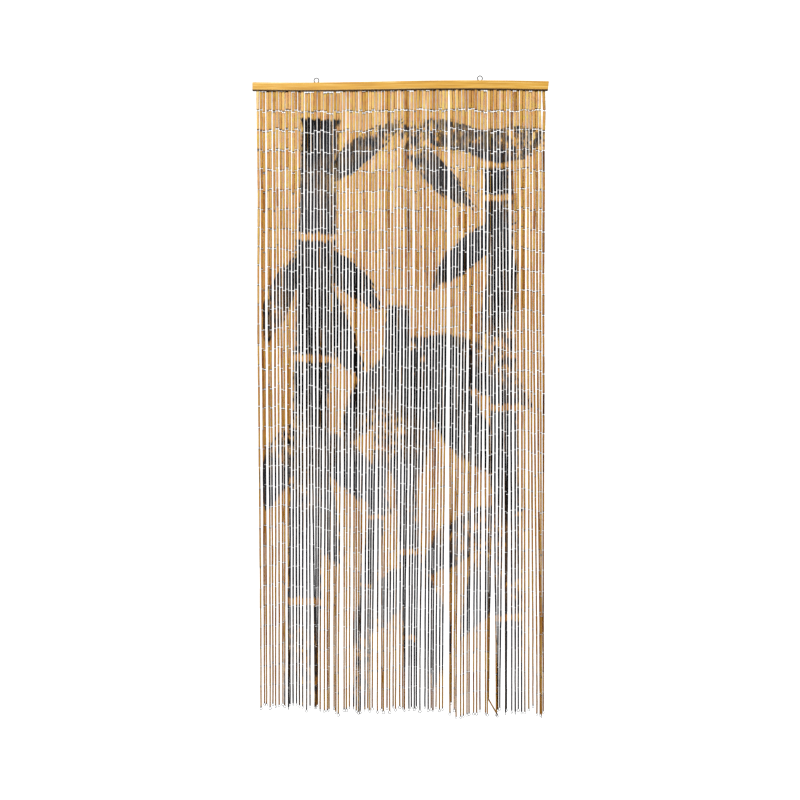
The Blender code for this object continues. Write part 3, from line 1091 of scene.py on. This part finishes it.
def make_tube_piece(plain, first, material):
    """The tubes of a few neighbouring strands as one piece, with all that their finish reads."""
    tubes, panels, cells = [], [], []
    values = {"tone": [], "along": [], "front": [], "stain": []}
    outward = np.where(plain.bored, -1.0, 1.0)
    for strand in range(first, first + STRANDS_TO_A_PIECE):
        joints = strand_points(strand)
        strand_tone = rng.normal(0.0, STRAND_TONE_SPREAD)
        strand_turn = rng.normal(0.0, TUBE_TURN)
        paint_slip = PAINT_SLIP * scatter(strand, 9.4)
        for bead in range(BEADS):
            points, share, upper, sideways, forward = grow_tube(plain, joints, bead)
            tubes.append(points)
            facing = strand_turn + rng.normal(0.0, TUBE_TURN / 2)
            tone = 0.5 + strand_tone + rng.normal(0, TUBE_TONE_SPREAD)
            stains = rng.random(2) ** 2
            toward = sideways * math.sin(facing) - forward * math.cos(facing)
            values["tone"].append(np.full(len(points), tone))
            values["along"].append(share)
            values["stain"].append(np.where(upper, stains[0], stains[1]))
            values["front"].append(toward * outward)
            x_shift = even_x(strand) - (joints[bead].x + joints[bead + 1].x) / 2
            x, _, z = points[plain.corners].T
            panels.append(np.column_stack((x + x_shift, z + paint_slip)))
            cells.append((plain.layout + (bead, strand - first)) / (BEADS, STRANDS_TO_A_PIECE))
    name = f"tubes_{first // STRANDS_TO_A_PIECE + 1:02d}"
    piece = join_copies(name, np.array(tubes), plain.faces, material)
    for title, numbers in values.items():
        put_values(piece, title, np.array(numbers))
    put_map(piece, "panel", np.concatenate(panels))
    put_map(piece, "OFBake", np.concatenate(cells))
    return piece


def make_tubes(material):
    """All the tubes, a few strands to a piece."""
    plain = PlainTube()
    starts = range(0, STRANDS, STRANDS_TO_A_PIECE)
    return [make_tube_piece(plain, first, material) for first in starts]


def turned(points, yaw):
    """Points turned about the upright axis."""
    c, s = math.cos(yaw), math.sin(yaw)
    return points @ np.array(((c, s, 0), (-s, c, 0), (0, 0, 1)))


def make_links(material):
    """Two wire eyes linked in each gap between tubes."""
    master = ring_master("link_master", LINK_RADIUS, LINK_WIRE, LINK_AROUND, LINK_SIDES)
    base, faces = shape_of(master)
    lift = np.array((0, 0, LINK_OFFSET))
    pieces = []
    share = STRANDS // LINK_PIECES
    for group in range(LINK_PIECES):
        rings = []
        for strand in range(group * share, (group + 1) * share):
            for joint in strand_points(strand)[1:-1]:
                yaw = rng.uniform(0, math.pi)
                centre = np.array(joint)
                rings.append(turned(base, yaw) + centre + lift)
                rings.append(turned(base, yaw + math.pi / 2) + centre - lift)
        pieces.append(join_copies(f"links_{group + 1}", np.array(rings), faces, material))
    return pieces


def make_end_loops(material):
    """The small wire loop under each strand, with the neck that holds it in the last tube."""
    master = ring_master("loop_master", LOOP_RADIUS, LOOP_WIRE, LOOP_AROUND, LOOP_SIDES)
    loop, loop_faces = shape_of(master)
    bpy.ops.object.select_all(action="DESELECT")
    bpy.ops.mesh.primitive_cylinder_add(
        vertices=NECK_SIDES, radius=NECK_RADIUS, depth=NECK_LENGTH, location=(0, 0, 0)
    )
    neck, neck_faces = shape_of(start("neck_master"))
    base = np.concatenate((loop, neck + np.array((0, 0, LOOP_RADIUS + NECK_LENGTH / 2))))
    faces = loop_faces + [tuple(len(loop) + corner for corner in face) for face in neck_faces]
    loops = []
    for strand in range(STRANDS):
        end = strand_points(strand)[-1]
        yaw = rng.normal(0.0, LOOP_TURN_SPREAD)
        size = 1.0 + LOOP_SCATTER * rng.uniform(-1, 1)
        centre = np.array((end.x, end.y, end.z - LOOP_DROP * size))
        loops.append(turned(base * size, yaw) + centre)
    return join_copies("end_loops", np.array(loops), faces, material)


def make_top_hooks(material):
    """The long wire link that holds each strand under the batten."""
    master = ring_master("hook_master", 1.0, HOOK_WIRE_SHARE, HOOK_AROUND, HOOK_SIDES)
    base, faces = shape_of(master)
    hooks = []
    for strand in range(STRANDS):
        top = strand_points(strand)[0]
        high = batten_bottom(top.x) + FIT_GAP + HOOK_RISE
        low = top.z - HOOK_DROP
        size = np.array((HOOK_HALF_WIDTH, HOOK_HALF_WIDTH, (high - low) / 2))
        centre = np.array((top.x, top.y, (high + low) / 2))
        yaw = rng.uniform(-HOOK_TURN, HOOK_TURN)
        hooks.append(turned(base * size, yaw) + centre)
    return join_copies("top_hooks", np.array(hooks), faces, material)


def make_strip(material):
    """The strip in the batten's groove that carries the hooks."""
    length = STRIP_RIGHT - STRIP_LEFT
    middle = (STRIP_RIGHT + STRIP_LEFT) / 2
    bpy.ops.object.select_all(action="DESELECT")
    bpy.ops.mesh.primitive_cube_add(size=1.0, location=(middle, 0, 0))
    strip = start("hook_strip")
    strip.scale = (length, STRIP_DEPTH, STRIP_HEIGHT)
    bpy.ops.object.transform_apply(location=True, rotation=True, scale=True)
    bpy.ops.object.mode_set(mode="EDIT")
    for station in range(1, STRIP_STATIONS):
        bpy.ops.mesh.select_all(action="SELECT")
        x = STRIP_LEFT + length * station / STRIP_STATIONS
        bpy.ops.mesh.bisect(plane_co=(x, 0, 0), plane_no=(1, 0, 0))
    bpy.ops.object.mode_set(mode="OBJECT")
    for vertex in strip.data.vertices:
        vertex.co.z += batten_bottom(vertex.co.x) + FIT_GAP + STRIP_HEIGHT / 2
    strip.data.materials.append(material)
    return strip


def make_eye(name, side, material):
    """One screw eye: a ring of wire, and the shank that holds it in the wood."""
    x = side * EYE_HALF_SPACING
    top = batten_top(x)
    ring = ring_master(name, EYE_RADIUS, EYE_RING_WIRE, EYE_AROUND, EYE_SIDES)
    ring.location = (x, 0, top + EYE_CENTRE_RISE)
    shank_top = top + EYE_CENTRE_RISE - EYE_RADIUS
    depth = EYE_SHANK_DEPTH + shank_top - top
    bpy.ops.mesh.primitive_cylinder_add(
        vertices=SHANK_SIDES, radius=EYE_WIRE, depth=depth, location=(x, 0, shank_top - depth / 2)
    )
    shank = bpy.context.object
    bpy.ops.object.select_all(action="DESELECT")
    shank.select_set(True)
    ring.select_set(True)
    bpy.context.view_layer.objects.active = ring
    bpy.ops.object.join()
    bpy.ops.object.transform_apply(location=True, rotation=True, scale=True)
    bpy.ops.object.shade_smooth_by_angle(angle=EYE_SMOOTH_ANGLE)
    ring.data.materials.append(material)
    return ring


def make_stage():
    """A wide white floor below the hem."""
    bpy.ops.object.select_all(action="DESELECT")
    bpy.ops.mesh.primitive_plane_add(size=FLOOR_SIZE, location=(0, 0, FLOOR_Z))
    floor = start("floor")
    floor.data.materials.append(stage_material())


def make_world():
    """A white room, brighter to the eye than the light that it sheds on the curtain."""
    world = bpy.data.worlds.new("white_room")
    bpy.context.scene.world = world
    world.use_nodes = True
    w = Wiring(world.node_tree)
    seen = w.add("ShaderNodeLightPath").outputs["Is Camera Ray"]
    toward = w.add("ShaderNodeTexCoord").outputs["Generated"]
    back_share = w.add("ShaderNodeSeparateXYZ", {0: toward}).outputs["Y"]
    glow = w.fit(back_share, *ROOM_FADE, ROOM_GLOW_FRONT, ROOM_GLOW_BACK)
    room = world.node_tree.nodes["Background"].inputs
    room["Color"].default_value = (1.0, 1.0, 1.0, 1.0)
    w.feed(room["Strength"], w.math("MAXIMUM", glow, w.math("MULTIPLY", seen, ROOM_WHITE)))


def make_light(name, place, aim, size, power):
    """A soft oblong light at a place, aimed at a point."""
    data = bpy.data.lights.new(name, "AREA")
    data.shape = "RECTANGLE"
    data.size, data.size_y = size
    data.energy = power
    light = bpy.data.objects.new(name, data)
    light.location = place
    direction = Vector(aim) - Vector(place)
    light.rotation_euler = direction.to_track_quat("-Z", "Y").to_euler()
    bpy.context.scene.collection.objects.link(light)


def make_camera():
    """A camera level with the curtain's middle, looking straight at its front."""
    data = bpy.data.cameras.new("front_camera")
    data.sensor_width = SENSOR_WIDTH
    data.lens = SENSOR_WIDTH * CAMERA_DISTANCE / FRAME_WIDTH
    camera = bpy.data.objects.new("front_camera", data)
    camera.location = (CAMERA_X, -CAMERA_DISTANCE, CAMERA_Z)
    camera.rotation_euler = (math.pi / 2, 0, 0)
    bpy.context.scene.collection.objects.link(camera)
    bpy.context.scene.camera = camera


def main():
    """Dresses the frame: materials first, then the pieces, then the white room."""
    make_camera()
    bpy.context.scene.view_settings.view_transform = "Standard"
    fibre = fibre_group()
    bamboo = bamboo_material(fibre, leaf_group(), cane_group())
    lacquer = batten_material(fibre)
    # Its dark tones are partly painted shade of the joints that the links sit in
    wire = wire_material("zinc_wire", ZINC_TONES_WITH_SHADE)
    eye_wire = wire_material("aged_wire", AGED_SHADES)

    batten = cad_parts["batten"]
    batten.data.materials.clear()
    batten.data.materials.append(lacquer)

    tubes = make_tubes(bamboo)
    for piece in tubes:
        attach(piece, "root")
        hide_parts("strands")
    wires = make_links(wire)
    wires.append(make_end_loops(wire))
    wires.append(make_top_hooks(wire))
    for piece in wires:
        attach(piece, "root")
        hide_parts("strands")
    strip = make_strip(lacquer)
    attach(strip, "root")
    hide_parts("strands")
    for node, side in (("eye_left", -1), ("eye_right", 1)):
        eye = make_eye(node + "_wire", side, eye_wire)
        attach(eye, "root")
        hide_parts(node)

    make_stage()
    make_world()
    for light in LIGHTS:
        make_light(*light)


main()
